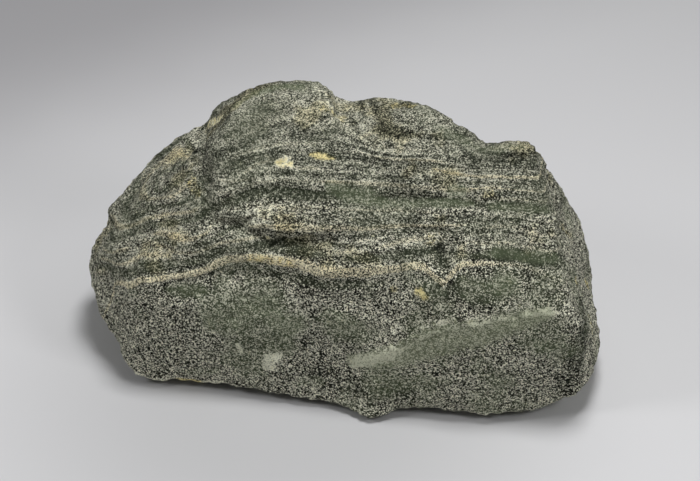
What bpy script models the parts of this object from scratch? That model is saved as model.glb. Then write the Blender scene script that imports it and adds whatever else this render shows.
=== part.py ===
"""A block of laminated green sandstone, as broken from the ground: one solid that rests on a flat spot.

X runs along the block, -Y is its broad front, +Z is up. The origin is under the middle of its box, at the
rest face. The bulk is what a set of fracture planes leaves, with its edges worn round. Its outline is then
drawn in to the one that an eye in front of the block and above it sees. Ledges, cracks, hollows and knobs
are worked in last.
"""

import math

import bmesh
import bpy
import numpy as np
from mathutils import Vector, noise

MM = 0.001
NAME = "sandstone_block"

# Fracture planes: direction and slope of the side that faces out, in degrees, then the distance in mm from
# HEART. Direction 0 faces +X, 90 faces the back and -90 the front. Slope 90 faces up.
HEART = Vector((0.9, 3.4, 30)) * MM
FRACTURES = {
    "seat": (0, -90, 31.1),
    "front_lower": (-99, 12, 31.5),
    "front_upper": (-98, 46, 30.5),
    "left_brow": (-150, 44, 43.0),
    "crown": (-105, 80, 36.0),
    "back_right": (65, 40, 31.4),
    "back_upper": (100, 42, 37.0),
    "back_lower": (95, 5, 31.0),
    "back_under": (88, -48, 39.5),
    "left_shoulder": (168, 48, 44.0),
    "left_end": (188, 4, 63.0),
    "left_front": (-152, 5, 57.5),
    "left_under": (-172, -42, 57.0),
    "right_end": (-12, 8, 60.5),
    "right_shoulder": (-4, 19, 57.8),
    "right_back": (40, 12, 51.5),
    "left_back": (136, 18, 49.5),
    "right_under": (-18, -46, 56.5),
    "front_sole": (-96, -81, 31.6),
    "back_sole": (92, -78, 33.5),
    "left_sole": (178, -78, 36.5),
    "right_sole": (4, -79, 37.0),
}
ROUGH_BLOCK = 180 * MM
WORKING_GRID = 1.1 * MM
WEAR_PASSES = 26

# The eye that sees the outline: how far it looks down, and its distance and aim.
EYE_SLOPE = math.radians(35)
EYE_DISTANCE = 560 * MM
EYE_AIM = Vector((2.2, -6.6, 36.4)) * MM

# The outline on the picture plane through EYE_AIM, in mm right of the aim and above it, from the right end
# upwards.
OUTLINE = (
    (63.8, -24.0), (62.0, -12.6), (60.7, -2.4), (57.9, 6.5), (53.3, 14.4), (49.2, 21.0), (46.6, 24.8),
    (43.4, 26.0), (39.5, 25.7), (35.0, 25.2), (32.6, 26.9), (30.3, 28.9), (27.8, 29.7), (22.7, 33.3),
    (15.8, 35.4), (7.7, 36.7), (2.5, 36.1), (-3.1, 36.6), (-5.6, 39.0), (-8.7, 40.6), (-15.8, 40.8),
    (-23.5, 39.8), (-31.1, 35.8), (-34.2, 33.8), (-36.4, 31.4), (-37.9, 29.3), (-41.8, 27.4), (-49.0, 22.1),
    (-54.1, 17.0), (-58.9, 11.6), (-61.3, 9.5), (-62.4, 7.1), (-61.7, 4.9), (-63.2, 2.4), (-66.0, -2.7),
    (-66.4, -6.0), (-65.8, -12.1), (-63.5, -19.0), (-59.2, -26.4),
    (-56.8, -32.6), (-51.0, -36.3), (-42.8, -36.9), (-27.5, -38.2), (-20.0, -39.8), (-7.7, -41.1),
    (-3.1, -42.2), (3.1, -45.0), (7.1, -45.6), (13.8, -43.7), (24.5, -44.1), (36.2, -46.0), (40.5, -44.7),
    (47.9, -44.0), (54.1, -41.4), (59.7, -37.1), (63.0, -31.5),
)
OUTLINE_STEPS = 8
OUTLINE_SECTORS = 360
# How the limb is drawn in: the part of the way out to the limb that holds still, and over how many sectors
# it evens.
BROAD_PULL = (0.35, 14)
CLOSE_PULL = (0.86, 1)

# The foot of the front: how high its lower edge hangs at each place along the block, and how far it is then
# tucked back and down to the ground along the eye's line of sight, all in mm.
FRONT_FOOT = (
    (-66, 13.0, 0.0), (-57, 9.7, 4.5), (-51, 5.9, 5.0), (-36, 6.3, 6.8), (-26, 6.1, 6.8), (-15, 5.5, 5.7),
    (-5, 4.6, 4.2), (1, 4.4, 3.4), (8, 3.0, 0.8), (15, 4.0, 3.0), (25, 5.0, 4.9), (36, 4.8, 4.6),
    (45, 6.5, 7.5), (50, 8.0, 9.0), (54.6, 11.1, 10.4), (60, 14.1, 8.5), (68, 17.0, 4.0),
)
FOOT_RISE = 24 * MM
# Between these two places, from the middle towards the front, the tuck grows from none to all of it.
FOOT_REACH = (6 * MM, -22 * MM)

# Strokes worked into the side that the eye sees: how far each stands out, its half width, and where it runs
# on the picture plane, all in mm. A minus sign sinks it.
STROKES = {
    "left_crease": (-2.0, 2.0, ((-38.5, 28.7), (-39.3, 25.1), (-38.0, 19.3), (-37.2, 12.9), (-36.5, 6.5))),
    "left_hollow": (-1.3, 6.5, ((-46.0, 24.0), (-45.0, 16.0), (-43.5, 8.0))),
    "crease_pit": (-2.4, 2.4, ((-39.6, 26.1), (-39.4, 24.4))),
    "brow": (0.9, 5.5, ((-33.0, 24.5), (-30.5, 15.5), (-30.0, 9.5))),
    "main_crack": (
        -1.8, 1.6, ((-35.2, 4.7), (-29.3, 4.6), (-25.5, 3.1), (-19.1, -0.6), (-15.3, 0.1), (-5.1, 0.1)),
    ),
    "crack_lip": (1.1, 2.6, ((-28.5, 8.6), (-22.5, 6.6), (-17.0, 3.6), (-8.0, 3.2), (2.0, 3.2))),
    "left_pit": (-1.5, 1.9, ((-29.3, 4.8), (-28.6, 4.5))),
    "right_pit": (-1.2, 1.9, ((-16.0, 0.5), (-15.0, 0.4))),
    "fold_notch": (-0.8, 2.6, ((22.0, -1.5), (24.2, -10.2), (26.0, -2.0))),
    "fold_hollow": (-0.7, 5.0, ((20.5, 0.0), (25.5, -6.0))),
    "back_ledge": (-1.6, 2.2, ((36.5, 28.0), (30.6, 25.0), (23.0, 23.8), (16.6, 25.1))),
    "right_lip": (0.9, 3.4, ((47.5, 23.5), (40.0, 23.0), (31.0, 21.0))),
    "pale_knob": (1.5, 4.2, ((-7.0, 37.0), (-5.8, 32.5))),
    "knob_foot": (-0.9, 2.4, ((-2.0, 36.6), (-2.5, 31.0), (-4.0, 28.0))),
    "dark_band": (
        -0.7, 2.6, ((-36.0, 9.0), (-28.0, 11.0), (-18.0, 12.9), (-5.0, 12.0), (8.0, 11.0), (30.0, 9.5)),
    ),
    "band_sill": (0.5, 2.2, ((-31.0, 15.0), (-17.0, 17.5), (-2.0, 17.0), (12.0, 16.2), (30.0, 14.0))),
    "front_lens": (0.7, 4.0, ((7.7, -30.0), (18.0, -27.0), (32.0, -22.5), (52.0, -18.5))),
    "low_spot": (0.7, 2.4, ((-20.4, -31.0), (-20.2, -29.6))),
    "toe_bite": (-1.6, 4.5, ((13.0, -45.5), (24.0, -46.0), (31.0, -46.5))),
    "left_toe": (-1.1, 5.0, ((-55.0, -30.0), (-49.0, -33.0))),
}

# The beds of the stone: how high the main pale one runs at each place along the block, and how far the edges
# of the beds stand out at each height above it, all in mm.
MAIN_BED = (
    (-66, 22.0), (-57, 27.5), (-50, 33.5), (-43, 35.6), (-35, 37.6), (-29, 40.9), (-22, 42.3), (-12, 42.3),
    (-3, 41.8), (7, 42.6), (14, 43.7), (20, 44.8), (30, 46.0), (36, 46.1), (41, 45.8), (46, 45.2),
    (52, 44.4), (60, 43.0), (68, 41.0),
)
BED_EDGES = (
    (-40, 0.0), (-31, 0.3), (-24, -0.1), (-14, 0.2), (-6, 0.1), (-2.8, -0.4), (0, 0.5), (2.5, 0.2),
    (4.5, -0.5), (7, 0.5), (9, -0.1), (11, -0.6), (13.5, 0.5), (15.5, -0.2), (18, -0.6), (20.5, 0.5),
    (23, -0.4), (26, 0.4),
)

# Lumps and hollows of a fractured surface: how far they stand, and how far apart they are.
SWELL, SWELL_SPACING = 2.0 * MM, 26 * MM
LUMP, LUMP_SPACING = 1.0 * MM, 9 * MM

# How soon strokes fade on sides that turn away from the eye, and at how many points of an edge the limb is
# sought.
STROKE_FADE = 3
EDGE_POINTS = 5

FACES = 8800
REST_TOLERANCE = 0.05 * MM
SANDSTONE = (0.115, 0.120, 0.088, 1.0)
SANDSTONE_ROUGHNESS = 0.92


def clear_scene():
    for obj in list(bpy.data.objects):
        bpy.data.objects.remove(obj, do_unlink=True)


def facing(direction, slope):
    """The unit vector that a side with this direction and slope, in degrees, faces along."""
    turn, lean = math.radians(direction), math.radians(slope)
    return Vector((math.cos(turn) * math.cos(lean), math.sin(turn) * math.cos(lean), math.sin(lean)))


def fractured_block():
    """A rough cube broken off along each fracture plane in turn."""
    bm = bmesh.new()
    bmesh.ops.create_cube(bm, size=ROUGH_BLOCK)
    bmesh.ops.translate(bm, vec=HEART, verts=bm.verts)
    for direction, slope, distance in FRACTURES.values():
        outward = facing(direction, slope)
        cut = bmesh.ops.bisect_plane(
            bm,
            geom=[*bm.verts, *bm.edges, *bm.faces],
            plane_co=HEART + outward * distance * MM,
            plane_no=outward,
            clear_outer=True,
        )
        rim = [part for part in cut["geom_cut"] if isinstance(part, bmesh.types.BMEdge)]
        bmesh.ops.contextual_create(bm, geom=rim)
    bmesh.ops.recalc_face_normals(bm, faces=bm.faces)
    mesh = bpy.data.meshes.new(NAME)
    bm.to_mesh(mesh)
    bm.free()
    return mesh


def with_modifier(mesh, kind, **settings):
    """The mesh as a modifier of this kind leaves it."""
    obj = bpy.data.objects.new("working", mesh)
    bpy.context.scene.collection.objects.link(obj)
    modifier = obj.modifiers.new(kind.title(), kind)
    for name, value in settings.items():
        setattr(modifier, name, value)
    graph = bpy.context.evaluated_depsgraph_get()
    made = bpy.data.meshes.new_from_object(obj.evaluated_get(graph))
    bpy.data.objects.remove(obj)
    bpy.data.meshes.remove(mesh)
    return made


def places(mesh):
    """The mesh's vertices as rows of x, y, z."""
    flat = np.empty(len(mesh.vertices) * 3)
    mesh.vertices.foreach_get("co", flat)
    return flat.reshape(-1, 3)


def outward_sides(mesh):
    """The way each vertex faces, as rows of x, y, z."""
    flat = np.empty(len(mesh.vertices) * 3, np.float32)
    mesh.vertex_normals.foreach_get("vector", flat)
    return flat.reshape(-1, 3).astype(float)


def place(mesh, points):
    mesh.vertices.foreach_set("co", points.ravel())
    mesh.update()


def raise_by(mesh, heights):
    """Moves each vertex this far along the way it faces."""
    place(mesh, places(mesh) + outward_sides(mesh) * heights[:, None])


def roughness(points):
    """How far the swells and lumps of a broken surface stand out at each point."""
    swells = [noise.noise(Vector(point) / SWELL_SPACING) for point in points]
    lumps = [noise.noise(Vector(point) / LUMP_SPACING) for point in points]
    return SWELL * np.array(swells) + LUMP * np.array(lumps)


def bed_relief(points, sides):
    """How far the edge of each point's bed stands out. Faces that lie along the beds show none."""
    main_bed = np.interp(points[:, 0], *(np.array(MAIN_BED) * MM).T)
    above = points[:, 2] - main_bed
    across = 1 - sides[:, 2] ** 2
    return np.interp(above, *(np.array(BED_EDGES) * MM).T) * across


def eased(share):
    """The share, kept from 0 to 1, with both of its ends eased."""
    share = np.clip(share, 0, 1)
    return share * share * (3 - 2 * share)


def view_axes():
    """The ways right, up and forward of the eye, and its place."""
    right = np.array((1.0, 0.0, 0.0))
    up = np.array((0.0, math.sin(EYE_SLOPE), math.cos(EYE_SLOPE)))
    forward = np.array((0.0, math.cos(EYE_SLOPE), -math.sin(EYE_SLOPE)))
    return right, up, forward, np.array(EYE_AIM) - forward * EYE_DISTANCE


def on_picture(points):
    """Where each point shows on the picture plane, right of the aim and above it, and how deep it lies."""
    right, up, forward, eye = view_axes()
    rays = points - eye
    depth = rays @ forward
    return np.stack([rays @ right, rays @ up], axis=1) * (EYE_DISTANCE / depth)[:, None], depth


def from_picture(flat, depth):
    """The points that the eye sees at these places on the picture plane, at these depths."""
    right, up, forward, eye = view_axes()
    flat = flat * (depth / EYE_DISTANCE)[:, None]
    return eye + flat[:, :1] * right + flat[:, 1:] * up + depth[:, None] * forward


def distance_to_line(flat, corners):
    """How far each place on the picture plane is from a line through the corners."""
    nearest = np.full(len(flat), np.inf)
    for start, stop in zip(corners[:-1], corners[1:]):
        along = stop - start
        share = np.clip((flat - start) @ along / (along @ along), 0, 1)
        nearest = np.minimum(nearest, np.linalg.norm(flat - start - share[:, None] * along, axis=1))
    return nearest


def stroke_relief(points, sides):
    """How far the strokes on the side that the eye sees stand out at each point."""
    flat, _ = on_picture(points)
    facing_eye = np.clip(-sides @ view_axes()[2] * STROKE_FADE, 0, 1)
    heights = np.zeros(len(points))
    for height, half_width, corners in STROKES.values():
        distance = distance_to_line(flat, np.array(corners) * MM)
        heights += height * MM * np.exp(-((distance / (half_width * MM)) ** 2))
    return heights * facing_eye


def smooth_ring(corners, steps):
    """A closed smooth curve through the corners, as rows of points."""
    ring = np.array(corners, float)
    before, after, beyond = (np.roll(ring, shift, axis=0) for shift in (1, -1, -2))
    curve = []
    for t in np.arange(steps) / steps:
        curve.append(
            ring
            + 0.5 * (after - before) * t
            + 0.5 * (2 * before - 5 * ring + 4 * after - beyond) * t**2
            + 0.5 * (3 * ring - before - 3 * after + beyond) * t**3
        )
    return np.stack(curve, axis=1).reshape(-1, 2)


def polar(flat, middle):
    """The turn and the reach of each place on the picture plane about the middle."""
    return np.arctan2(*(flat - middle).T[::-1]), np.hypot(*(flat - middle).T)


def points_on_edges(mesh, points):
    """Points spread along every edge of the mesh."""
    ends = np.empty(len(mesh.edges) * 2, int)
    mesh.edges.foreach_get("vertices", ends)
    start, stop = points[ends.reshape(-1, 2).T]
    return np.concatenate([start + (stop - start) * share for share in np.linspace(0, 1, EDGE_POINTS)])


def draw_to_outline(mesh, still, evened):
    """Slides the block's limb on the picture plane, at its own depth, until it meets the outline."""
    points = places(mesh)
    flat, depth = on_picture(points)
    ring = smooth_ring(OUTLINE, OUTLINE_STEPS) * MM
    middle = ring.mean(axis=0)
    ring_turn, ring_reach = polar(ring, middle)
    order = np.argsort(ring_turn)
    edge_turn, edge_reach = polar(on_picture(points_on_edges(mesh, points))[0], middle)
    sector = ((edge_turn / math.tau + 0.5) * OUTLINE_SECTORS).astype(int) % OUTLINE_SECTORS
    limb = np.zeros(OUTLINE_SECTORS)
    np.maximum.at(limb, sector, edge_reach)
    centres = ((np.arange(OUTLINE_SECTORS) + 0.5) / OUTLINE_SECTORS - 0.5) * math.tau
    wanted = np.interp(centres, ring_turn[order], ring_reach[order], period=math.tau)
    pull = np.mean([np.roll(wanted / limb, shift) for shift in range(-evened, evened + 1)], axis=0)
    turn, reach = polar(flat, middle)
    limb_there = np.interp(turn, centres, limb, period=math.tau)
    pull_there = np.interp(turn, centres, pull, period=math.tau)
    share = eased((reach / limb_there - still) / (1 - still))
    flat = middle + (flat - middle) * (1 + (pull_there - 1) * share)[:, None]
    place(mesh, from_picture(flat, depth))


def tuck_foot(mesh):
    """Slides the foot of the front back and down along the eye's lines of sight, so its outline stays."""
    points = places(mesh)
    x, edge, tuck = (np.array(FRONT_FOOT) * MM).T
    edge_there = np.interp(points[:, 0], x, edge)
    tuck_there = np.interp(points[:, 0], x, tuck)
    below = np.clip(points[:, 2] / edge_there, 0, 1) ** 2
    above = eased(1 - (points[:, 2] - edge_there) / FOOT_RISE)
    back, front = FOOT_REACH
    share = np.where(points[:, 2] < edge_there, below, above) * eased((points[:, 1] - back) / (front - back))
    flat, depth = on_picture(points)
    place(mesh, from_picture(flat, depth + tuck_there * share))


def set_down(mesh):
    """Cuts the flat rest face at the height of the ground, and centres the block over the origin."""
    bm = bmesh.new()
    bm.from_mesh(mesh)
    cut = bmesh.ops.bisect_plane(
        bm,
        geom=[*bm.verts, *bm.edges, *bm.faces],
        dist=REST_TOLERANCE,
        plane_co=(0, 0, 0),
        plane_no=(0, 0, -1),
        clear_outer=True,
    )
    rim = [part for part in cut["geom_cut"] if isinstance(part, bmesh.types.BMEdge)]
    for vert in {vert for edge in rim for vert in edge.verts}:
        vert.co.z = 0
    bmesh.ops.contextual_create(bm, geom=rim)
    bmesh.ops.recalc_face_normals(bm, faces=bm.faces)
    xs = [vert.co.x for vert in bm.verts]
    ys = [vert.co.y for vert in bm.verts]
    middle = Vector(((min(xs) + max(xs)) / 2, (min(ys) + max(ys)) / 2, 0))
    bmesh.ops.translate(bm, vec=-middle, verts=bm.verts)
    bm.to_mesh(mesh)
    bm.free()


def sandstone():
    material = bpy.data.materials.new("sandstone")
    material.use_nodes = True
    shader = material.node_tree.nodes["Principled BSDF"]
    shader.inputs["Base Color"].default_value = SANDSTONE
    shader.inputs["Roughness"].default_value = SANDSTONE_ROUGHNESS
    shader.inputs["Metallic"].default_value = 0.0
    return material


def main():
    clear_scene()
    mesh = fractured_block()
    mesh = with_modifier(mesh, "REMESH", mode="VOXEL", voxel_size=WORKING_GRID)
    mesh = with_modifier(mesh, "SMOOTH", factor=0.5, iterations=WEAR_PASSES)
    draw_to_outline(mesh, *BROAD_PULL)
    draw_to_outline(mesh, *BROAD_PULL)
    raise_by(mesh, roughness(places(mesh)))
    raise_by(mesh, bed_relief(places(mesh), outward_sides(mesh)))
    raise_by(mesh, stroke_relief(places(mesh), outward_sides(mesh)))
    draw_to_outline(mesh, *CLOSE_PULL)
    draw_to_outline(mesh, *CLOSE_PULL)
    tuck_foot(mesh)
    mesh = with_modifier(mesh, "DECIMATE", ratio=FACES / (2 * len(mesh.polygons)))
    set_down(mesh)
    mesh.name = NAME
    mesh.materials.clear()
    mesh.materials.append(sandstone())
    mesh.shade_flat()
    block = bpy.data.objects.new(NAME, mesh)
    bpy.context.scene.collection.objects.link(block)


main()
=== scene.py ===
"""A block of laminated green sandstone on a pale sheet, worked up from its solid.

The beds of the stone are set out once, as a height above the main pale bed. The relief and the colours both read it.
"""

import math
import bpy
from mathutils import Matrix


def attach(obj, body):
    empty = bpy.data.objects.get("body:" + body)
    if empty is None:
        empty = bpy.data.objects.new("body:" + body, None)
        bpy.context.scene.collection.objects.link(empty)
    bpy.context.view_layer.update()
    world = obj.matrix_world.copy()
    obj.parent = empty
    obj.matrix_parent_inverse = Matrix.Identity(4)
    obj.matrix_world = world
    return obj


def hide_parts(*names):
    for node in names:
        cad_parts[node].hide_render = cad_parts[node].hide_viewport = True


bl_info = {
    "name": "Laminated Sandstone Block",
    "version": (1, 0, 0),
    "blender": (4, 5, 0),
    "location": "3D View > Sidebar > Sandstone",
    "description": "A broken block of green sandstone with pale and dark beds, on a pale sheet in soft light",
    "category": "Add Mesh",
}

import bmesh
import bpy
import numpy as np
from mathutils import Vector, noise

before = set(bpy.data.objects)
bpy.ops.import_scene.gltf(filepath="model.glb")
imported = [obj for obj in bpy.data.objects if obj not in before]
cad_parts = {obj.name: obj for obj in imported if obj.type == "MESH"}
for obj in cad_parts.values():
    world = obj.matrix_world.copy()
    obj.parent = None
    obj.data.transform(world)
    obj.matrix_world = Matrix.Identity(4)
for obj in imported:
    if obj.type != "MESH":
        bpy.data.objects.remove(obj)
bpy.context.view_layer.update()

MM = 0.001
SOLID = "sandstone_block"

# The beds. Along the block, in mm: how high the main pale bed runs, and how high the dark bed above it runs.
MAIN_BED = (
    (-66, 22.0), (-57, 27.5), (-50, 33.5), (-43, 35.6), (-35, 37.6), (-29, 40.9), (-22, 42.3), (-12, 42.3),
    (-3, 41.8), (7, 42.6), (14, 43.7), (20, 44.8), (30, 46.0), (36, 46.1), (41, 45.8), (46, 45.2), (52, 44.4),
    (60, 43.0), (68, 41.0),
)
DARK_BED = (
    (-66, 33.0), (-57, 41.5), (-48.5, 47.0), (-40, 50.5), (-33, 51.5), (-25, 54.2), (-15, 55.8), (-3, 56.2),
    (10, 55.6), (22, 55.4), (32, 55.2), (40, 55.8), (47, 56.0), (56, 54.5), (68, 51.0),
)
DARK_BED_HEIGHT = 13.0
# The dome that the top beds make, in mm: its middle in plan, the radius at which the beds are about 1 mm lower, how
# much lower they are where they level out, and how high above the dark bed it begins and is whole.
DOME_MIDDLE = (-16.8, 7.5)
DOME_RADIUS = 12.6
DOME_DROP = 4.5
DOME_BOTTOM = 2.0
DOME_WHOLE = 10.0
# How far along the block, in mm, the bends of the beds are eased, and the laminae fade at their ends.
BEND_EASING = 1.5
LAMINA_FADE = 3.0
# Past its ends, each mm takes a point this many half thicknesses away from the cream bed.
CREAM_END = 3.0

# The cream bed. Along the block: its height in the stack of beds and its half thickness, in mm, then how pale it is.
CREAM_BED = (
    (-57.5, -1.4, 0.8, 0.9), (-56, -0.6, 0.8, 1.2), (-54, 0.3, 0.8, 1.3), (-50, 0.4, 0.7, 1.3), (-46, -0.1, 0.7, 1.3),
    (-40, -0.3, 0.8, 1.3), (-33, -0.4, 1.1, 1.3), (-28, -0.3, 1.3, 1.3), (-22, -0.4, 1.3, 1.3), (-17, -0.3, 1.3, 1.4),
    (-12, -0.5, 1.5, 1.4), (-2, -0.8, 1.5, 1.3), (6, -0.8, 1.3, 1.0), (12, -0.6, 1.0, 0.9), (18, -0.2, 0.8, 1.0),
    (20.5, -0.9, 0.8, 1.0), (22, -2.3, 0.85, 1.1), (23.6, -3.9, 0.8, 1.1), (25.3, -5.0, 0.7, 1.4), (27, -3.2, 0.8, 1.4),
    (28.5, -1.4, 0.7, 1.3), (30, -0.3, 0.55, 1.1), (33, 0.0, 0.5, 0.8), (40, -0.1, 0.45, 0.5), (48, 0.0, 0.4, 0.3),
    (54, -0.5, 0.4, 0.1),
)

# Laminae: how much paler or darker than the stone around, then place along the block, height in the stack of beds and
# half thickness, in mm.
LAMINAE = (
    (-0.5, ((-32, -3.6, 0.8), (-24, -3.8, 1.3), (-10, -4.2, 1.5), (4, -4.0, 1.3), (12, -3.6, 0.8))),
    (-0.6, ((-63, 1.6, 0.8), (-50, 2.4, 0.9), (-42, 2.4, 0.9), (-30, 2.4, 1.0), (-20, 2.3, 1.0), (-12, 2.5, 1.1),
            (-3, 2.9, 0.8))),
    (-0.2, ((-19, 3.4, 0.6), (-14, 3.9, 1.0), (-10, 4.2, 1.2), (-6, 4.2, 1.2), (-2, 4.6, 0.9), (3, 4.6, 0.3))),
    (-0.5, ((0, 2.1, 0.5), (6, 2.0, 0.8), (14, 2.0, 0.9), (19, 1.9, 1.1), (22, 0.9, 1.5), (25, -1.2, 2.0),
            (28, 0.9, 1.4), (31, 1.7, 0.8), (36, 1.6, 0.5))),
    (-0.6, ((34, 2.0, 1.0), (42, 2.0, 1.3), (48, 2.2, 1.3), (54, 3.0, 1.3))),
    (0.5, ((-63, 3.2, 0.4), (-55, 3.4, 0.4), (-50, 3.6, 0.4), (-42, 4.0, 0.5))),
    (0.45, ((-47, 5.2, 0.4), (-40, 4.7, 0.5), (-36, 4.4, 0.5), (-31, 4.3, 0.5), (-26, 4.1, 0.5), (-19, 3.4, 0.4))),
    (0.5, ((-62, 4.6, 0.4), (-57, 5.7, 0.4), (-53, 4.9, 0.4))),
    (0.6, ((-48, 6.3, 0.3), (-45, 6.6, 0.5), (-40, 7.2, 0.5), (-36, 7.4, 0.4), (-32, 8.0, 0.4))),
    (-0.55, ((-48, 5.7, 0.4), (-42, 6.0, 0.4), (-36, 6.0, 0.4), (-30, 6.2, 0.5), (-23, 6.4, 0.5))),
    (-0.6, ((-62, 7.1, 0.4), (-50, 7.4, 0.4), (-46, 7.5, 0.4), (-42, 8.3, 0.4), (-38, 9.6, 0.5), (-34, 10.8, 0.6))),
    (0.55, ((-60, 8.4, 0.4), (-50, 8.3, 0.4), (-46, 8.5, 0.4), (-42, 9.4, 0.4), (-38, 10.7, 0.4), (-35, 12.0, 0.4))),
    (-0.6, ((-58, 9.6, 0.4), (-50, 9.4, 0.4), (-44, 10.2, 0.4), (-40, 11.8, 0.5), (-36, 13.6, 0.7))),
    (0.5, ((-56, 10.8, 0.4), (-48, 11.0, 0.4), (-42, 12.4, 0.4), (-37, 15.2, 0.5))),
    (-0.5, ((-54, 12.2, 0.4), (-46, 12.6, 0.4), (-41, 14.4, 0.5), (-37, 17.0, 0.6))),
    (0.4, ((-50, 13.6, 0.4), (-44, 14.4, 0.4), (-38, 18.4, 0.5))),
    (0.35, ((-32, 8.6, 0.4), (-27, 9.0, 0.5), (-22, 9.2, 0.4), (-18, 9.0, 0.3))),
    (0.5, ((-24, 6.4, 0.4), (-20, 7.2, 0.6), (-14, 7.4, 0.8), (-8, 7.5, 0.8), (-3, 7.6, 0.8), (2, 7.8, 0.6),
           (7, 7.2, 0.6), (12, 7.0, 0.6), (18, 7.0, 0.6), (23, 7.2, 0.5), (27, 7.8, 0.5), (31, 8.0, 0.3))),
    (-0.35, ((-9, 9.2, 0.3), (0, 9.0, 0.4), (6, 8.6, 0.4), (12, 8.4, 0.4), (18, 8.3, 0.4), (24, 9.0, 0.5),
             (28, 9.8, 0.7))),
    (0.35, ((-29, 11.0, 0.5), (-25, 11.3, 0.5), (-20, 11.2, 0.5), (-16, 10.6, 0.4), (-13, 10.1, 0.4), (-9, 10.5, 0.4),
            (-5, 10.8, 0.4), (0, 10.5, 0.3), (6, 10.4, 0.3), (10, 10.0, 0.4), (18, 9.8, 0.4), (24, 10.4, 0.4))),
    (-0.6, ((-35, 10.4, 0.9), (-33, 11.4, 1.4), (-30, 12.4, 1.3), (-25, 13.0, 1.3), (-18, 12.9, 1.4), (-12, 12.5, 1.3),
            (-6, 12.6, 1.0), (1, 12.8, 0.6))),
    (-0.5, ((8, 12.4, 0.5), (15, 12.2, 0.7), (20, 12.4, 0.8), (25, 12.6, 0.9), (30, 12.4, 0.9), (36, 12.4, 0.8),
            (42, 12.5, 0.8), (54, 12.7, 0.8))),
    (0.35, ((-18, 8.6, 0.3), (-10, 9.4, 0.4))),
    (0.3, ((-31, 15.2, 0.5), (-26, 14.8, 0.4), (-20, 15.2, 0.5), (-14, 15.0, 0.5), (-8, 15.2, 0.5), (0, 15.4, 0.4))),
    (0.4, ((-4, 15.4, 0.4), (4, 15.4, 0.7), (12, 15.2, 0.9), (20, 15.2, 0.9), (28, 15.4, 0.9), (36, 15.4, 0.5))),
    (-0.4, ((-1, 17.6, 0.6), (4, 17.1, 0.4), (8, 17.2, 0.4), (14, 17.2, 0.5), (20, 17.2, 0.5), (26, 17.7, 0.4),
            (32, 17.8, 0.5), (38, 17.9, 0.5), (44, 17.9, 0.5), (56, 18.1, 0.5))),
    (0.35, ((-31, 18.8, 0.5), (-28, 17.6, 0.4), (-25, 16.6, 0.4), (-20, 16.0, 0.4))),
    (0.35, ((-25, 17.6, 0.4), (-21, 18.8, 0.5), (-16, 19.7, 0.4), (-11, 19.9, 0.3))),
    (0.35, ((-18, 18.2, 0.4), (-10, 18.0, 0.5), (-4, 18.2, 0.4))),
    (0.7, ((22, 20.6, 0.3), (28, 20.0, 0.4), (34, 19.4, 0.45), (40, 19.4, 0.5), (47, 19.5, 0.5), (56, 19.7, 0.45))),
    (-0.35, ((8, 20.2, 0.4), (18, 20.6, 0.4), (27, 21.6, 0.5))),
    (-0.3, ((30, 23.6, 1.6), (36, 23.9, 2.0), (44, 24.2, 2.2), (52, 24.3, 2.0))),
    (0.5, ((30, 15.9, 0.3), (36, 16.3, 0.35), (44, 16.4, 0.35), (56, 16.6, 0.35))),
    (-0.4, ((34, 15.2, 0.3), (44, 15.2, 0.35), (56, 15.4, 0.35))),
    (0.35, ((32, 14.2, 0.4), (44, 14.1, 0.5), (56, 14.3, 0.5))),
    (0.35, ((33, 27.4, 0.7), (40, 28.0, 0.8), (50, 28.2, 0.8))),
    (0.3, ((2, 22.0, 0.3), (10, 22.6, 0.35), (18, 22.4, 0.3), (26, 22.6, 0.3))),
    (0.3, ((-28, 22.0, 0.4), (-18, 22.4, 0.4), (-6, 22.2, 0.4))),
    (0.3, ((8, 22.2, 0.4), (20, 22.4, 0.5), (30, 22.0, 0.4))),
    (-0.25, ((0, 22.8, 0.4), (10, 23.4, 0.4), (20, 23.5, 0.5), (30, 23.0, 0.4))),
    (-0.3, ((-27, 23.4, 0.4), (-16, 23.0, 0.4), (-6, 23.6, 0.4))),
    (0.25, ((-24, 25.4, 1.2), (0, 25.2, 1.4), (24, 25.0, 1.2))),
    (0.3, ((-8, 3.5, 0.3), (0, 3.2, 0.4), (5, 3.4, 0.4))),
    (0.4, ((9, 3.6, 0.4), (15, 4.2, 0.6), (20, 3.9, 0.8), (24, 3.8, 0.7))),
    (-0.4, ((2, 6.0, 0.4), (10, 5.9, 0.5), (15, 5.8, 0.5), (18, 6.0, 0.5), (24, 5.9, 0.5), (30, 6.2, 0.5))),
    (-0.25, ((-3, 4.1, 0.4), (4, 4.1, 0.3), (8, 4.0, 0.3))),
    (0.25, ((-4, 4.8, 0.3), (4, 5.1, 0.4), (8, 5.0, 0.4), (12, 5.0, 0.3))),
    (0.35, ((30, 4.6, 0.4), (36, 4.0, 0.4), (42, 4.4, 0.4), (50, 4.6, 0.4), (56, 5.2, 0.4))),
    (0.35, ((34, 7.0, 0.5), (38, 7.8, 0.6), (41, 8.0, 0.5), (46, 7.8, 0.5), (54, 7.7, 0.6))),
    (0.3, ((33, 10.0, 0.3), (40, 10.3, 0.3), (48, 10.4, 0.35), (56, 10.3, 0.3))),
    (-0.35, ((32, 9.3, 0.35), (40, 9.5, 0.35), (44, 9.6, 0.4), (56, 9.5, 0.4))),
    (-0.3, ((34, 6.2, 0.4), (44, 6.4, 0.4), (54, 6.6, 0.4))),
    (0.25, ((36, 11.0, 0.4), (46, 11.4, 0.4), (54, 11.6, 0.4))),
)

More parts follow.
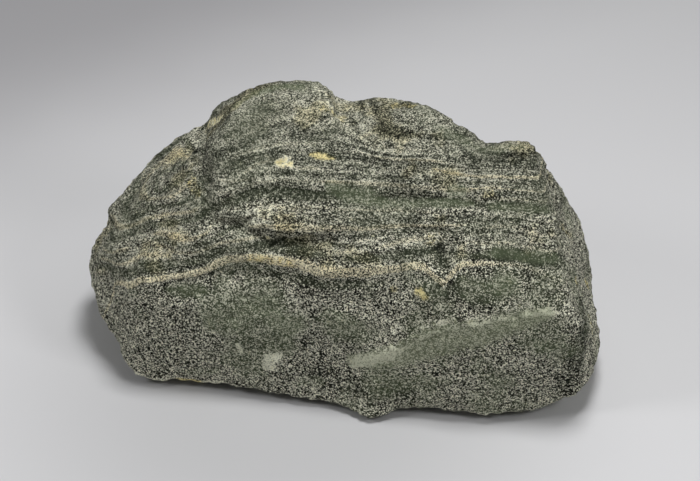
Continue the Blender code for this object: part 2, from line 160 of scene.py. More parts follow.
# Patches on the front and the top: what they are of, how strong, and a line of places with radii, in mm. Some of the
# dark ones are painted shade, in the cracks and pits and on the right end; pale and ochre ones on the left foot are
# painted bounce light.
PATCHES = (
    ("pale", 0.95, ((3.0, -31.6, 15.1, 1.4), (6.5, -33.3, 17.4, 2.3), (11.0, -34.6, 19.3, 1.9),
                    (14.0, -34.7, 21.0, 1.2))),
    ("pale", 0.45, ((14.0, -34.7, 21.6, 0.9), (17.9, -34.7, 23.8, 0.7), (22.3, -35.2, 27.6, 0.7),
                    (27.2, -36.2, 29.6, 0.6), (32.0, -37.2, 31.6, 0.6))),
    ("pale", 0.8, ((24.7, -35.1, 30.7, 0.9), (26.4, -35.5, 31.3, 0.7))),
    ("pale", 0.5, ((32.0, -37.2, 31.6, 0.7), (36.8, -37.1, 32.8, 0.9), (44.1, -37.1, 34.6, 1.4),
                   (50.8, -38.3, 36.7, 1.6), (52.7, -38.6, 36.4, 0.8))),
    ("pale", 1, ((13.0, -34.5, 22.1, 1),)),
    ("pale", 1.1, ((-15.4, -28.8, 15.4, 1), (-17.5, -28.9, 14.6, 1.9), (-18.8, -28.4, 11.6, 1.5),
                   (-17.3, -28.7, 11.8, 1.3))),
    ("pale", 0.75, ((-26.0, -27.2, 17.4, 0.8), (-25.1, -26.9, 15.2, 1))),
    ("pale", 0.35, ((-6.1, 11.0, 70.0, 1.4), (-5.0, 7.9, 69.6, 2.4), (-3.8, 5.3, 69.1, 2.6),
                    (-2.5, 3.2, 68.3, 1.2))),
    ("pale", 1, ((-15.6, -9.4, 60.9, 1), (-13.6, -9.4, 61.3, 1.5), (-12.1, -10.1, 60.8, 0.8))),
    ("pale", 0.6, ((-7.2, -8.1, 62.5, 0.4), (-5.2, -8.5, 62.4, 0.9), (-3.7, -9.1, 62.3, 0.8),
                   (-1.7, -9.5, 62.2, 0.4))),
    ("pale", 0.6, ((-34.3, 20.2, 53.6, 1.7), (-30.3, 9.2, 62.5, 1.4))),
    ("pale", 0.7, ((20.0, -32.6, 37.7, 1.4),)),
    ("pale", 0.6, ((59.1, -22.9, 33.9, 1.2),)),
    # Painted bounce light: the pale rim along the left foot, where the underside is lit from the sheet.
    ("pale", 0.8, ((-52.9, -21.9, 3.9, 0.9), (-49.1, -23.0, 2.7, 1.1), (-42.4, -23.0, 2.4, 1),
                   (-32.2, -25.1, 3.4, 0.9), (-28.3, -25.4, 2.7, 0.8))),
    ("pale", 0.7, ((34.9, -36.6, 2.6, 0.8), (38.4, -37.3, 3.2, 0.8))),
    ("pale", 0.35, ((-22.2, -18.5, 49.5, 1.2), (-18.7, -20.0, 50.5, 1.3))),
    ("pale", 0.4, ((-19.3, -19.3, 45.8, 1), (-17.6, -19.8, 45.8, 1.3), (-16.3, -20.5, 46.6, 0.9))),
    ("pale", 0.5, ((-23.2, -18.0, 51.8, 0.8), (-19.2, -18.0, 52.4, 0.7), (-16.0, -16.7, 53.0, 0.8))),
    ("lens", 1, ((3.0, -31.6, 15.7, 2), (9.5, -34.4, 18.6, 3.4), (15.0, -34.8, 20.1, 4.2),
                 (20.9, -35.2, 22.9, 4.8), (27.7, -36.7, 26.9, 4.9), (35.5, -37.5, 29.4, 4.6),
                 (42.7, -37.3, 32.3, 3.4), (50.3, -38.5, 35.9, 1.9))),
    ("ochre", 0.8, ((-15.8, -9.3, 60.9, 0.9), (-13.8, -9.6, 61.1, 1.5), (-12.1, -9.9, 61.0, 0.9))),
    ("ochre", 1.3, ((-7.4, -8.1, 62.5, 0.6), (-5.4, -8.5, 62.4, 1.2), (-3.7, -9.1, 62.3, 1),
                    (-1.4, -9.5, 62.2, 0.5))),
    ("ochre", 0.6, ((-35.3, 22.0, 50.9, 1.3), (-33.3, 17.6, 55.8, 2), (-30.3, 9.2, 62.5, 1.3))),
    ("ochre", 0.9, ((13.3, 4.5, 69.3, 1.4), (18.1, 4.2, 69.2, 1.4))),
    ("ochre", 1, ((19.5, -32.4, 38.1, 1.5), (20.7, -32.9, 37.0, 1.3))),
    ("ochre", 0.6, ((13.1, -31.0, 38.1, 1.2),)),
    ("ochre", 0.7, ((-4.5, 3.0, 68.7, 1.2), (0.5, 2.2, 66.6, 1.4))),
    ("ochre", 0.45, ((-42.0, 11.3, 49.4, 2.6), (-44.6, 9.9, 47.8, 2.6))),
    ("ochre", 0.7, ((-37.7, -5.5, 53.0, 1.6), (-35.8, -9.7, 51.9, 1.4))),
    ("ochre", 0.7, ((36.0, -17.7, 57.2, 1.4), (37.4, -18.1, 57.2, 1.1))),
    ("ochre", 0.5, ((54.9, -16.4, 45.9, 1.8), (59.2, -7.0, 36.9, 1.6))),
    ("ochre", 1.3, ((59.1, -22.5, 34.0, 1.4), (59.5, -21.8, 32.9, 1.4))),
    ("ochre", 1.3, ((64.2, -0.4, 18.5, 1.5), (64.9, -0.1, 16.7, 1.5))),
    ("ochre", 0.6, ((63.8, -18.9, 19.0, 1.6), (64.0, -24.4, 16.8, 1.6))),
    # Painted bounce light: the beige tint along the left foot.
    ("ochre", 1.1, ((-41.9, -23.1, 2.8, 0.9), (-36.6, -24.3, 3.1, 0.9))),
    ("ochre", 0.6, ((-12.1, -25.6, 41.7, 1.4), (-22.2, -23.5, 42.1, 1.2))),
    ("ochre", 0.5, ((22.7, -23.8, 48.0, 1.8), (24.6, -24.2, 48.6, 1.4))),
    ("ochre", 0.45, ((-19.3, -19.5, 45.6, 1), (-17.1, -20.0, 45.7, 1.2))),
    ("ochre", 0.6, ((-22.6, -18.0, 47.3, 0.6), (-21.1, -18.5, 47.0, 0.5))),
    ("green", 1, ((-42.5, -23.5, 32.2, 1.6), (-39.0, -23.9, 32.2, 2.4), (-35.0, -24.1, 32.7, 1.9))),
    ("green", 0.7, ((-31.7, -26.3, 24.0, 3.4), (-28.1, -26.5, 25.4, 4.6), (-19.4, -27.0, 29.5, 5),
                    (-12.0, -29.0, 26.0, 4.6))),
    ("green", 0.6, ((-17.6, -28.4, 19.3, 3), (-13.6, -28.8, 18.6, 3.4))),
    ("green", 0.7, ((-8.7, -29.9, 8.2, 2.6), (-5.6, -30.3, 8.5, 2.4))),
    ("green", 0.6, ((-40.7, -23.5, 5.8, 1.6), (-31.8, -25.5, 7.7, 1.6))),
    ("green", 0.5, ((8.1, -35.0, 10.4, 4), (20.1, -34.7, 12.1, 4))),
    ("green", 0.5, ((-2.4, -30.7, 28.6, 4), (3.0, -31.7, 25.6, 3.6))),
    ("green", 1.1, ((-2.4, -15.1, 57.3, 1.6), (2.0, -16.0, 56.1, 2.3), (6.5, -16.6, 55.3, 2.4),
                    (9.9, -16.5, 54.4, 1.6))),
    ("green", 0.8, ((10.9, -16.6, 53.8, 1.2), (22.3, -17.9, 54.4, 1.4), (32.1, -18.1, 54.8, 1.3))),
    ("green", 1, ((27.7, -16.4, 57.5, 1.5), (30.1, -16.5, 57.4, 1.5))),
    ("green", 0.7, ((37.4, -20.2, 55.4, 1.6), (50.3, -21.6, 55.4, 1.7))),
    ("green", 0.9, ((38.2, -29.3, 47.7, 1.8), (45.2, -30.0, 47.3, 2), (51.7, -31.2, 47.5, 1.8))),
    ("green", 0.9, ((29.9, -34.3, 40.7, 3.2), (34.2, -35.1, 40.1, 3.8), (41.1, -34.5, 41.2, 3))),
    ("green", 0.6, ((49.4, -38.2, 25.9, 3), (54.9, -37.8, 23.4, 5))),
    ("green", 0.5, ((34.9, -37.3, 17.9, 4), (40.0, -37.6, 14.4, 4))),
    ("green", 0.9, ((-26.3, 7.7, 67.0, 1.4), (-22.3, 11.0, 68.6, 1.6), (-16.5, 12.6, 69.4, 1.6),
                    (-10.2, 12.6, 69.7, 1.4))),
    ("green", 0.6, ((24.9, -4.3, 67.1, 2.4), (30.4, -5.6, 65.0, 2), (39.5, -10.4, 66.3, 2),
                    (44.4, -10.9, 66.6, 1.6))),
    ("dark", 0.5, ((32.3, -30.4, 47.0, 1.2), (39.1, -30.4, 46.7, 1.4), (47.6, -31.7, 46.4, 1.6))),
    ("dark", 0.4, ((31.8, -32.8, 44.8, 1), (41.5, -32.7, 44.1, 1.4), (49.9, -34.6, 44.0, 1.6))),
    # Painted shade on the right end of the stone, which the lamps light less, down to its lower corner.
    ("dark", 0.65, ((59.3, -27.7, 31.9, 5), (60.4, -34.8, 27.9, 6), (59.2, -36.5, 19.8, 5),
                    (56.6, -35.1, 10.8, 4))),
    ("dark", 0.55, ((-43.5, -23.5, 31.9, 2), (-39.0, -24.1, 31.7, 2.6), (-34.0, -24.4, 32.6, 2))),
    # Painted shade in the groove that CHISELLING cuts above the bend of the cream bed.
    ("dark", 0.6, ((24.6, -25.6, 46.8, 1.6), (24.8, -29.0, 44.5, 1.4), (25.8, -30.8, 42.8, 0.7))),
    ("dark", 0.5, ((13.8, -27.0, 46.1, 1), (19.7, -26.9, 46.0, 1.3), (23.2, -26.0, 46.0, 1.2))),
    ("dark", 0.55, ((23.1, -32.7, 39.3, 3.4), (28.2, -34.2, 39.2, 4.2), (33.1, -35.8, 37.3, 3),
                    (38.4, -35.7, 37.8, 3))),
    ("dark", 0.4, ((-9.6, -27.2, 36.8, 2.8), (0.1, -29.7, 36.5, 3.4), (7.9, -31.0, 36.8, 3.4))),
    ("dark", 0.45, ((-5.1, -30.2, 11.1, 4), (0.2, -31.5, 8.2, 4), (16.4, -34.9, 8.4, 4))),
    # Painted shade in the cracks and pits that CHISELLING cuts, from here to the end of the table.
    ("dark", 0.7, ((-38.7, 17.1, 49.4, 0.6), (-36.8, 2.9, 56.9, 0.5))),
    ("dark", 0.6, ((-36.1, -8.9, 52.2, 0.4), (-33.7, -11.5, 51.3, 0.5), (-32.7, -13.0, 50.2, 0.5))),
    ("dark", 1.2, ((-26.6, -16.6, 47.5, 0.6), (-25.3, -16.6, 47.8, 0.9), (-24.1, -17.1, 47.5, 0.6))),
    ("dark", 0.6, ((-31.4, -15.6, 47.2, 0.6), (-29.3, -17.0, 47.5, 0.5))),
    ("dark", 0.7, ((-31.9, -15.4, 47.0, 0.35), (-26.8, -16.5, 47.8, 0.4), (-22.3, -18.3, 47.2, 0.4),
                   (-19.3, -19.7, 45.5, 0.4), (-16.8, -21.0, 44.6, 0.5))),
    ("dark", 1.1, ((-17.5, -21.8, 44.5, 0.3), (-15.8, -20.8, 45.0, 0.32), (-13.8, -20.6, 45.5, 0.32),
                   (-11.4, -20.6, 45.5, 0.32), (-8.4, -22.2, 46.0, 0.3), (-4.9, -22.8, 46.1, 0.3))),
    ("dark", 0.35, ((-14.8, -20.9, 46.6, 0.8), (-11.8, -20.9, 47.2, 0.7))),
)

# Cracks, pits and lumps on the front: how far each stands out, and a line of places with radii, all in mm.
CHISELLING = (
    (-0.8, ((-17.5, -21.8, 44.5, 0.45), (-15.8, -20.8, 45.0, 0.45), (-11.9, -20.4, 45.3, 0.45),
            (-6.9, -22.4, 46.1, 0.4), (-2.9, -23.0, 46.3, 0.4))),
    (-0.6, ((-31.6, -15.4, 47.1, 0.5), (-25.8, -16.5, 47.7, 0.6), (-22.1, -18.5, 47.0, 0.5),
            (-17.3, -20.8, 44.7, 0.6))),
    (-1.1, ((-26.4, -16.5, 47.5, 0.6), (-24.8, -16.7, 47.9, 0.7))),
    (1, ((-22.8, -18.0, 47.3, 0.9), (-20.2, -19.5, 49.2, 1.2))),
    (0.9, ((-19.1, -19.5, 45.6, 1), (-16.8, -20.1, 45.8, 0.9))),
    (0.7, ((-27.7, -16.8, 50.1, 1), (-25.2, -17.3, 51.0, 1))),
    (-0.8, ((-23.0, -18.2, 49.8, 0.6), (-21.2, -18.8, 51.2, 0.5))),
    (-0.7, ((-29.6, -16.5, 47.8, 0.6),)),
    (0.5, ((-12.1, -21.3, 47.7, 0.9),)),
    (0.5, ((-8.8, -22.1, 47.8, 0.8),)),
    (0.6, ((-17.8, -20.1, 47.6, 1.4), (-12.3, -21.6, 48.3, 1.2), (-6.8, -22.8, 49.1, 1))),
    (0.5, ((-27.2, -16.9, 50.4, 1.4), (-23.5, -18.1, 50.9, 1.2))),
    (-0.6, ((-23.2, -18.0, 49.7, 0.7),)),
    (-1.2, ((-38.9, 15.6, 49.7, 1.5),)),
    (-0.45, ((-37.0, 2.7, 56.7, 0.9), (-35.2, -3.3, 55.5, 0.9), (-34.3, -9.5, 52.3, 0.8),
             (-33.2, -14.1, 48.3, 0.8))),
    (-0.6, ((25.1, -28.0, 45.3, 1.2), (26.0, -31.2, 42.1, 1))),
    (-0.4, ((20.5, -25.4, 46.7, 1), (24.4, -25.6, 46.6, 1))),
    (0.4, ((22.2, -24.3, 47.4, 1),)),
    (0.35, ((-15.9, -28.8, 14.8, 1.4), (-18.0, -28.8, 14.2, 1.8), (-18.8, -28.4, 11.6, 1.2))),
    (0.3, ((13.0, -34.5, 22.1, 1), (25.4, -35.3, 31.1, 1))),
    (0.25, ((3.5, -31.8, 15.9, 1.6), (11.0, -34.6, 19.3, 1.8), (14.0, -34.7, 21.6, 1.2),
            (22.3, -35.2, 27.3, 1), (32.2, -37.1, 31.9, 1.1), (44.4, -37.1, 34.6, 1.2), (51.7, -38.3, 37.0, 1.2))),
    (0.5, ((-5.0, 8.6, 69.7, 2.6), (-3.8, 4.9, 69.0, 2.6))),
    (-0.5, ((-0.5, 9.7, 67.0, 1.2), (-1.0, 3.2, 67.4, 1))),
)

# Corners of the solid that are closer together than this, in mm, are one.
WELD_GAP = 0.001
# The worked surface. A face that looks this way by more than the slant gets the finer grid, if it is above the foot.
SHOWN_SIDE = Vector((0, -0.82, 0.57))
SHOWN_SLANT = 0.1
# How high above the sheet the relief is whole, in mm. It fades to nothing at the seat, which stays flat.
FOOT_HEIGHT = 2.0
# The most that the laminae and the cream bed do to the relief together, and how much of it the cream bed does.
BED_RELIEF_LIMIT = 0.6
CREAM_RELIEF = 0.3
# The lumps and the crumbs: how far apart they are, in mm, their share of the relief and the seed of their noise.
LUMPS = ((7.0, 1.0, 3.1),)
CRUMBS = ((2.6, 1.0, 7.7), (1.2, 0.9, 1.9))

# The noises of the materials: how many lumps they have to a metre, how detailed they are, and how rough.
NOISES = {
    "drifts": (62.0, 3.0, 0.6),
    "waver": (70.0, 3.0, 0.55),
    "clouds": (190.0, 4.0, 0.65),
    "ragged": (900.0, 2.0, 0.6),
    "grit": (1300.0, 2.0, 0.6),
    "sheet": (14.0, 2.0, 0.5),
}

# The grains. Coarse ones are this share of the fine ones' number to a metre, and have this share of the say.
COARSE_SCALE = 0.45
COARSE_SHARE = 0.14
# How strongly the grains differ in the massive stone, and what the upper beds and the green drifts take off that.
GRAIN_CONTRAST = 1.62
CONTRAST_LOST = {"bedded": 0.52, "topmost": 0.36, "drifted": 0.20}
# Where each shade lies on the scale of tones, from 0 for black to 1 for white.
GRAIN_SHADES = (
    (0.12, "black_grain"), (0.31, "dark_grain"), (0.50, "mid_grain"), (0.70, "light_grain"), (0.96, "white_grain"),
)
# The middle of the scale, which the tone of an average grain is near, and how much darker the whole stone is.
MIDDLE_TONE = 0.5
TONE_DROP = 0.062
# How much each of these lightens a grain, or darkens it where it is below nothing.
TONE_WEIGHTS = {
    "clouds": 0.52, "topmost": 0.008, "lamina": 0.24, "cream": 0.27, "dark": -0.38, "pale": 0.5, "lens": 0.06,
    "ochre": 0.08,
}
# Where the stone turns from massive to bedded, and from bedded to its topmost beds, in mm up the stack of beds.
BEDDED_FROM = (-1.5, 2.0)
TOPMOST_FROM = (10.0, 22.0)
# How far the streaks along the beds waver, in mm. Then, for each kind of streak, how many there are to a metre along a
# bed, how many to a mm across it, and how strong it is. Last, their strength in massive stone and what beds add to it.
STREAK_WAVER = 1.6
STREAKS = ((28.0, 1.0, 1.0), (70.0, 2.0, 1.2))
STREAK_MASSIVE = 0.1
STREAK_BEDDED = 0.2
# The cream bed's edges: how ragged they are, and how many half thicknesses out it begins to fade and is gone.
CREAM_RAGGED = 0.9
CREAM_EDGE = (0.7, 1.2)
# The patches: what makes their edges ragged, by how much, and the strengths at which they begin to show and are full.
PATCH_EDGES = {
    "pale": ("ragged", 1.8, 0.2, 0.8),
    "lens": ("ragged", 1.5, 0.15, 0.85),
    "dark": ("ragged", 1.0, 0.1, 0.9),
    "green": ("clouds", 1.5, 0.05, 1.0),
    "ochre": ("ragged", 1.8, 0.15, 1.1),
}
# The green drifts: what a green patch adds to their noise, where in it they begin and are full, and how much of them
# the bedded stone hides. A dark lamina is as green as this, from the first tone to the second.
DRIFT_HELP = 0.12
DRIFT_EDGE = (0.48, 0.64)
DRIFT_HIDDEN = 0.55
SHADED_GREEN = 0.5
SHADED_FROM = (-0.1, -0.6)
# The stains, in the order in which they go on: what they follow, how strong they are and whose colour they have.
# The pale one also paints bounce light along the left foot.
STAINS = (
    ("mossy", 0.27, "green_stain"), ("green", 0.34, "green_stain"), ("lens", 0.5, "lens_stain"),
    ("pale", 0.2, "pale_and_bounce_stain"),
)
# The tones from which a pale lamina is warm, and where in the drifts' noise the bedded stone is rusty, and how much.
WARM_FROM = (0.15, 0.6)
RUSTY_EDGE = (0.47, 0.37)
RUSTY_SHARE = 0.4
# How much the grit between the grains counts in their relief, and how strongly that relief is lit.
GRIT_SHARE = 1.4
GRAIN_BUMP = 0.7
STONE_SPECULAR = 0.12

# The sheet. Behind the stone a painted shade darkens it along a slanting line, between these distances from the middle,
# in metres, with a slight unevenness. Round the foot a painted shade darkens it towards the middle of the shade.
FAR_SLANT = 0.7
FAR_SHADE_EDGE = (0.12, 0.26)
FAR_UNEVEN = 0.04
PAINTED_SHADE_MIDDLE = (-0.015, -0.03, 0.0)
PAINTED_SHADE_EDGE = (0.10, 0.02)
SHEET_ROUGHNESS = 0.8
SHEET_SPECULAR = 0.2

# The lamps: name, setting of the power, width and place, in metres. All of them look at one place.
LAMPS = (
    ("left_light", "left_power", 0.12, (-0.36, -0.16, 0.36)),
    ("right_light", "right_power", 0.12, (0.30, -0.26, 0.36)),
    ("top_light", "top_power", 0.15, (0.05, -0.03, 0.55)),
)
LAMP_AIM = Vector((0, 0, 0.03))
# What the eye looks at.
EYE_AIM = Vector((2.4, -8.05, 36.4)) * MM
SENSOR_WIDTH = 36

# Blender's colour mixing node has a socket of each type under one name, so its colours go by number.
MIX_FIRST = 6
MIX_SECOND = 7
MIX_RESULT = 2


def length(name, description, default):
    return bpy.props.FloatProperty(
        name=name, description=description, default=default, min=0, subtype="DISTANCE", unit="LENGTH", precision=5
    )


def amount(name, description, default, top=1.0):
    return bpy.props.FloatProperty(name=name, description=description, default=default, min=0, max=top)


def power(name, description, default):
    return bpy.props.FloatProperty(name=name, description=description, default=default, min=0, unit="POWER")


def colour(name, description, default):
    return bpy.props.FloatVectorProperty(
        name=name, description=description, default=default, size=3, min=0, max=1, subtype="COLOR"
    )


class SandstoneSettings(bpy.types.PropertyGroup):
    """Sizes and colours of the stone."""

    surface_grid: length("Surface grid", "Spacing of the points of the worked surface", 0.00099)
    bed_relief: length("Bed relief", "How far a pale bed stands out beyond a dark one", 0.0006)
    lump_height: length("Lump height", "How far the lumps of the broken surface stand out", 0.00055)
    crumb_height: length("Crumb height", "How far clusters of grains stand out", 0.00045)
    grain_size: length("Grain size", "Width of one sand grain", 0.00025)
    grain_relief: length("Grain relief", "How far a sand grain stands out", 0.00014)
    black_grain: colour("Black grains", "The darkest grains", (0.006, 0.0065, 0.005))
    dark_grain: colour("Dark grains", "Dark bottle-green grains", (0.028, 0.031, 0.023))
    mid_grain: colour("Middle grains", "Grey-green grains that fill most of the stone", (0.140, 0.145, 0.108))
    light_grain: colour("Light grains", "Light grey grains", (0.510, 0.506, 0.402))
    white_grain: colour("White grains", "Palest grains of quartz and feldspar", (0.880, 0.868, 0.700))
    green_stain: colour("Green stain", "Colour of the green patches", (0.155, 0.192, 0.108))
    lens_stain: colour("Lens stain", "Colour of the pale green lens", (0.290, 0.325, 0.205))
    # Also the colour of the painted bounce light along the left foot.
    pale_and_bounce_stain: colour("Pale stain", "Colour of the bleached patches", (0.920, 0.925, 0.720))
    warm_tint: colour("Warm tint", "Tint of the cream beds", (1.0, 0.94, 0.84))
    cool_tint: colour("Cool tint", "Tint of the grey stone between the green drifts", (0.985, 0.985, 0.99))
    # Also tints the painted bounce light along the left foot.
    ochre_and_bounce_tint: colour("Ochre tint", "Tint of the rusty patches", (1.0, 0.885, 0.56))
    roughness: amount("Roughness", "Roughness of the broken stone", 0.93)


class StageSettings(bpy.types.PropertyGroup):
    """The sheet, the light and the eye."""

    sheet_colour: colour("Sheet", "Colour of the pale sheet", (0.76, 0.76, 0.773))
    # Painted shade: the sheet's colour far behind the stone, where the light falls off.
    shaded_far_sheet_colour: colour("Far sheet", "Colour of the sheet behind the stone on the left", (0.50, 0.495, 0.51))
    # Painted shade on the sheet round the foot of the stone.
    painted_foot_shade: amount("Near shade", "How much darker the sheet is near the foot of the stone", 0.24)
    sheet_width: length("Sheet width", "Width of the sheet", 4.0)
    sky_strength: amount("Sky", "Strength of the light from all round", 0.10, 10)
    left_power: power("Left light", "Power of the light on the left", 0.42)
    right_power: power("Right light", "Power of the light on the right", 0.48)
    top_power: power("Top light", "Power of the light overhead", 1.75)
    eye_slope: bpy.props.FloatProperty(
        name="Eye slope", description="How far the eye looks down", default=math.radians(35), subtype="ANGLE"
    )
    eye_distance: length("Eye distance", "How far the eye is from what it looks at", 0.56)
    picture_width: length("Picture width", "Width of what the eye sees at that distance", 0.1785)


def curve_through(corners, x):
    """Height at each x of a line through the corners, with its bends eased."""
    steps = np.linspace(-BEND_EASING, BEND_EASING, 7)
    xs, ys = np.array(corners, float).T[:2]
    return np.mean([np.interp(x + step, xs, ys) for step in steps], axis=0)


def bed_heights(points):
    """How high each point lies in the stack of beds, in mm above the main pale bed."""
    x, y, z = points.T / MM
    main = curve_through(MAIN_BED, x)
    dark = curve_through(DARK_BED, x)
    between = DARK_BED_HEIGHT * (z - main) / (dark - main)
    heights = np.where(z < main, z - main, np.where(z < dark, between, DARK_BED_HEIGHT + z - dark))
    into_dome = np.clip((z - dark - DOME_BOTTOM) / (DOME_WHOLE - DOME_BOTTOM), 0, 1)
    from_middle = ((x - DOME_MIDDLE[0]) ** 2 + (y - DOME_MIDDLE[1]) ** 2) / DOME_RADIUS**2
    return heights + DOME_DROP * (1 - np.exp(-from_middle / DOME_DROP)) * into_dome


def cream_bed(points, heights):
    """How far each point is from the middle of the cream bed, in half thicknesses, and how pale the bed is there."""
    x = points[:, 0] / MM
    xs, middles, halves, paleness = np.array(CREAM_BED, float).T
    off = (heights - np.interp(x, xs, middles)) / np.interp(x, xs, halves)
    beyond = np.clip(xs[0] - x, 0, None) + np.clip(x - xs[-1], 0, None)
    return off + CREAM_END * beyond, np.interp(x, xs, paleness)


def lamina_tones(points, heights):
    """How much paler or darker the laminae make each point."""
    x = points[:, 0] / MM
    tones = np.zeros(len(points))
    for tone, path in LAMINAE:
        xs, middles, halves = np.array(path, float).T
        off = (heights - np.interp(x, xs, middles)) / np.interp(x, xs, halves)
        ends = np.clip((x - xs[0]) / LAMINA_FADE + 0.5, 0, 1) * np.clip((xs[-1] - x) / LAMINA_FADE + 0.5, 0, 1)
        tones += tone * np.exp(-(off**4)) * ends
    return tones


def line_weight(points, line):
    """How near each point is to a line of places with radii: 1 on it, and 0 well beyond its radius."""
    corners = np.array(line, float)
    if len(corners) == 1:
        corners = np.repeat(corners, 2, axis=0)
    weight = np.zeros(len(points))
    for start, stop in zip(corners[:-1], corners[1:]):
        along = (stop - start)[:3] * MM
        reach = points - start[:3] * MM
        share = np.clip(reach @ along / max(along @ along, 1e-12), 0, 1)
        radius = (start[3] + (stop[3] - start[3]) * share) * MM
        gap = np.linalg.norm(reach - share[:, None] * along, axis=1) / radius
        weight = np.maximum(weight, np.exp(-(gap**3)))
    return weight


def patch_strengths(points, kind):
    """How strong the patches of one kind are at each point."""
    strengths = np.zeros(len(points))
    for name, strength, line in PATCHES:
        if name == kind:
            strengths += strength * line_weight(points, line)
    return strengths


def noise_at(points, spacing, seed):
    """Smooth noise from -1 to 1 at each point, with lumps this far apart."""
    shift = Vector((seed, -seed, 2 * seed))
    return np.array([noise.noise(Vector(p) / spacing + shift) for p in points])


def noises_at(points, kinds):
    """The sum of several noises at each point."""
    return sum(share * noise_at(points, spacing * MM, seed) for spacing, share, seed in kinds)


def vertex_places(mesh):
    flat = np.empty(len(mesh.vertices) * 3, np.float32)
    mesh.vertices.foreach_get("co", flat)
    return flat.reshape(-1, 3).astype(float)


def vertex_sides(mesh):
    flat = np.empty(len(mesh.vertices) * 3, np.float32)
    mesh.vertex_normals.foreach_get("vector", flat)
    return flat.reshape(-1, 3).astype(float)


def push_out(mesh, heights):
    """Moves each vertex this far along the way it faces."""
    points = vertex_places(mesh) + vertex_sides(mesh) * heights[:, None]
    mesh.vertices.foreach_set("co", points.ravel().astype(np.float32))
    mesh.update()


def store(mesh, name, values):
    """Keeps a value at each vertex, for the material to read."""
    attribute = mesh.attributes.new(name, "FLOAT", "POINT")
    attribute.data.foreach_set("value", values.astype(np.float32))


def with_modifiers(mesh, *modifiers):
    """The mesh as these modifiers leave it."""
    working = bpy.data.objects.new("working", mesh)
    bpy.context.scene.collection.objects.link(working)
    for kind, settings in modifiers:
        modifier = working.modifiers.new(kind.title(), kind)
        for name, value in settings.items():
            setattr(modifier, name, value)
    graph = bpy.context.evaluated_depsgraph_get()
    made = bpy.data.meshes.new_from_object(working.evaluated_get(graph))
    bpy.data.objects.remove(working)
    bpy.data.meshes.remove(mesh)
    return made


def finer_front(mesh):
    """Halves the spacing of the points on the sides that show the beds best, the front and the top."""
    bm = bmesh.new()
    bm.from_mesh(mesh)
    foot = FOOT_HEIGHT * MM
    shown = [
        face for face in bm.faces if face.normal.dot(SHOWN_SIDE) > SHOWN_SLANT and face.calc_center_median().z > foot
    ]
    edges = list({edge for face in shown for edge in face.edges})
    bmesh.ops.subdivide_edges(bm, edges=edges, cuts=1, use_grid_fill=True)
    bm.to_mesh(mesh)
    bm.free()


def worked_surface(settings):
    """The solid's surface with its facets evened out and its relief worked in."""
    bm = bmesh.new()
    bm.from_mesh(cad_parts[SOLID].data)
    bmesh.ops.remove_doubles(bm, verts=bm.verts, dist=WELD_GAP * MM)
    mesh = bpy.data.meshes.new("sandstone")
    bm.to_mesh(mesh)
    bm.free()
    smoothing = ("SMOOTH", {"factor": 0.5, "iterations": 3})
    mesh = with_modifiers(
        mesh,
        ("SUBSURF", {"levels": 1, "render_levels": 1}),
        ("REMESH", {"mode": "VOXEL", "voxel_size": settings.surface_grid}),
        smoothing,
    )
    finer_front(mesh)
    mesh = with_modifiers(mesh, smoothing)
    points = vertex_places(mesh)
    heights = bed_heights(points)
    tones = lamina_tones(points, heights)
    cream_off, paleness = cream_bed(points, heights)
    across = 1 - vertex_sides(mesh)[:, 2] ** 2
    foot = np.clip(points[:, 2] / (FOOT_HEIGHT * MM), 0, 1)
    steps = tones + CREAM_RELIEF * paleness * np.exp(-(cream_off**4))
    relief = np.clip(steps, -BED_RELIEF_LIMIT, BED_RELIEF_LIMIT) * settings.bed_relief * across
    relief += settings.lump_height * noises_at(points, LUMPS)
    relief += settings.crumb_height * noises_at(points, CRUMBS)
    for height, line in CHISELLING:
        relief += height * MM * line_weight(points, line)
    push_out(mesh, relief * foot)
    store(mesh, "bed", heights)
    store(mesh, "lamina", tones)
    store(mesh, "cream_off", cream_off)
    store(mesh, "cream_paleness", paleness)
    for kind in PATCH_EDGES:
        store(mesh, kind, patch_strengths(points, kind))
    return mesh


